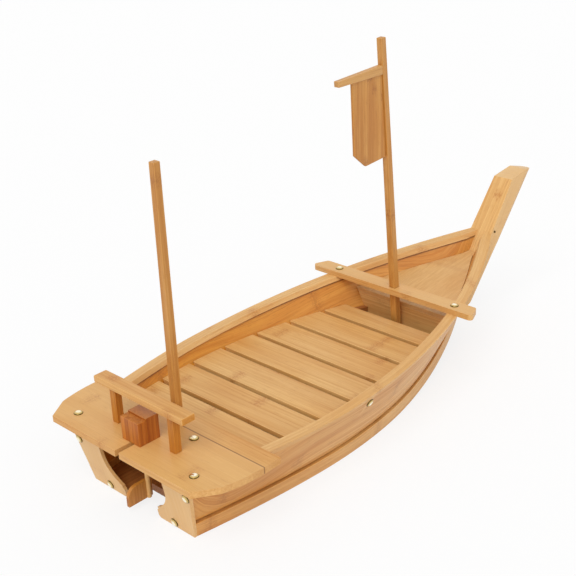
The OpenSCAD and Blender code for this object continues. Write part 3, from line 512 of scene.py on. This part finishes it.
def domed_nail(bm, apex, way, length):
    """Spins one nail about its own axis: shank, flat underside, rim and dome."""
    ball = (NAIL_HEAD ** 2 + (NAIL_HEIGHT - NAIL_RIM) ** 2) / (2 * (NAIL_HEIGHT - NAIL_RIM))
    foot = NAIL_HEIGHT - length
    outline = [(0, foot), (NAIL_SHANK * 0.8, foot), (NAIL_SHANK, foot + 0.0006),
               (NAIL_SHANK, 0), (NAIL_HEAD - 0.0001, 0), (NAIL_HEAD, 0.0001),
               (NAIL_HEAD, NAIL_RIM - 0.0001)]
    steps = 9
    for k in range(steps + 1):
        reach = (NAIL_HEAD - 0.00015) * math.cos(math.pi / 2 * k / steps)
        outline.append((reach if k < steps else 0,
                        NAIL_HEIGHT - ball + math.sqrt(ball ** 2 - reach ** 2)))
    turn = Vector((0, 0, 1)).rotation_difference(Vector(way)).to_matrix().to_4x4()
    place = Matrix.Translation(Vector(apex) - Vector(way) * NAIL_HEIGHT) @ turn
    line = [bm.verts.new(place @ Vector((x, 0, z))) for x, z in outline]
    sides = [bm.edges.new(pair) for pair in zip(line, line[1:])]
    bmesh.ops.spin(bm, geom=line + sides, cent=place.translation, axis=Vector(way),
                   angle=math.tau, steps=40, use_merge=True)


for node in ("deck_nails", "transom_nails", "crossbar_nails", "side_nails"):
    nails = bmesh.new()
    axes = []
    for apex, way, length in nail_places(node):
        domed_nail(nails, apex, way, length)
        axes.append((Vector(apex), Vector(way)))
    bmesh.ops.remove_doubles(nails, verts=nails.verts, dist=1e-6)
    bmesh.ops.recalc_face_normals(nails, faces=nails.faces)
    rims = [min((v.co - apex).cross(way).length / NAIL_HEAD
                for apex, way in axes) for v in nails.verts]
    mesh = keep_piece(nails, "brass_" + node, node, brass).data
    mesh.attributes.new("rim", "FLOAT", "POINT").data.foreach_set("value", rims)

PIN_EDGE = 0.0003
pins = bmesh.new()
pins.from_mesh(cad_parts["stem_pins"].data)
eased(pins, PIN_EDGE)
dull = keep_piece(pins, "brass_stem_pins", "stem_pins", brass).data
dull.attributes.new("rim", "FLOAT", "POINT").data.foreach_set(
    "value", [1.0] * len(dull.vertices))


# The table, the light and the camera: a white table that keeps a soft shadow, an even
# white sky, a broad lamp from behind the camera and a weak one from the side.
TABLE_SIZE = 60
TABLE_GAP = 0.0002
TABLE_GLOW = 0.8
SKY_LIGHT = 0.62
bpy.ops.mesh.primitive_plane_add(size=TABLE_SIZE, location=(0, 0, -TABLE_GAP))
table = bpy.context.object
table.name = "table"
white = Finish("table_white")
white.surface_is(Base_Color=from_srgb(244, 244, 244), Roughness=0.9)
rays = white.node("ShaderNodeLightPath", 0).socket.node.outputs
seen = Wire(white, rays["Is Camera Ray"]) + Wire(white, rays["Is Glossy Ray"])
glow = white.node("ShaderNodeEmission", 0, None, (1, 1, 1, 1), 1.0)
share = seen.sum("MINIMUM", seen, 1.0) * TABLE_GLOW
mixed = white.node("ShaderNodeMixShader", 0, None, share,
                   Wire(white, white.surface.outputs[0]), glow)
white.tree.links.new(mixed.socket, white.tree.nodes["Material Output"].inputs[0])
table.data.materials.append(white.material)

world = bpy.data.worlds.new("studio")
bpy.context.scene.world = world
world.use_nodes = True
sky = world.node_tree
backdrop = sky.nodes["Background"]
backdrop.inputs[0].default_value = (1, 1, 1, 1)
path = sky.nodes.new("ShaderNodeLightPath")
level = sky.nodes.new("ShaderNodeMapRange")
level.inputs["To Min"].default_value = SKY_LIGHT
level.inputs["To Max"].default_value = 1.0
either = sky.nodes.new("ShaderNodeMath")
either.operation = "MAXIMUM"
sky.links.new(path.outputs["Is Camera Ray"], either.inputs[0])
sky.links.new(path.outputs["Is Glossy Ray"], either.inputs[1])
sky.links.new(either.outputs[0], level.inputs[0])
sky.links.new(level.outputs[0], backdrop.inputs[1])


def lamp(name, strength, spread, towards):
    made = bpy.data.lights.new(name, "SUN")
    made.energy, made.angle = strength, math.radians(spread)
    thing = bpy.data.objects.new(name, made)
    bpy.context.scene.collection.objects.link(thing)
    thing.rotation_mode = "QUATERNION"
    thing.rotation_quaternion = Vector(towards).to_track_quat("-Z", "Y")


lamp("key", 1.5, 40, (0.75, 0.35, -1.0))
lamp("fill", 0.35, 60, (0.1, 1.0, -0.45))

VIEW_FROM = (-0.7548, -0.6494, 0.5562)
VIEW_YAW, VIEW_PITCH, VIEW_ROLL = (math.radians(a) for a in (44.56, 24.20, -2.47))
VIEW_LENS = 68.75
VIEW_SENSOR = 36
ahead = Vector((math.cos(VIEW_YAW) * math.cos(VIEW_PITCH),
                math.sin(VIEW_YAW) * math.cos(VIEW_PITCH), -math.sin(VIEW_PITCH)))
right = Vector((math.sin(VIEW_YAW), -math.cos(VIEW_YAW), 0))
above = right.cross(ahead)
across_view = math.cos(VIEW_ROLL) * right + math.sin(VIEW_ROLL) * above
up_view = math.cos(VIEW_ROLL) * above - math.sin(VIEW_ROLL) * right
camera = bpy.data.objects.new("camera", bpy.data.cameras.new("camera"))
bpy.context.scene.collection.objects.link(camera)
camera.matrix_world = Matrix.Translation(VIEW_FROM) @ Matrix(
    (across_view, up_view, -ahead)).transposed().to_4x4()
camera.data.lens, camera.data.sensor_width = VIEW_LENS, VIEW_SENSOR
bpy.context.scene.camera = camera
bpy.context.scene.view_settings.view_transform = "Standard"
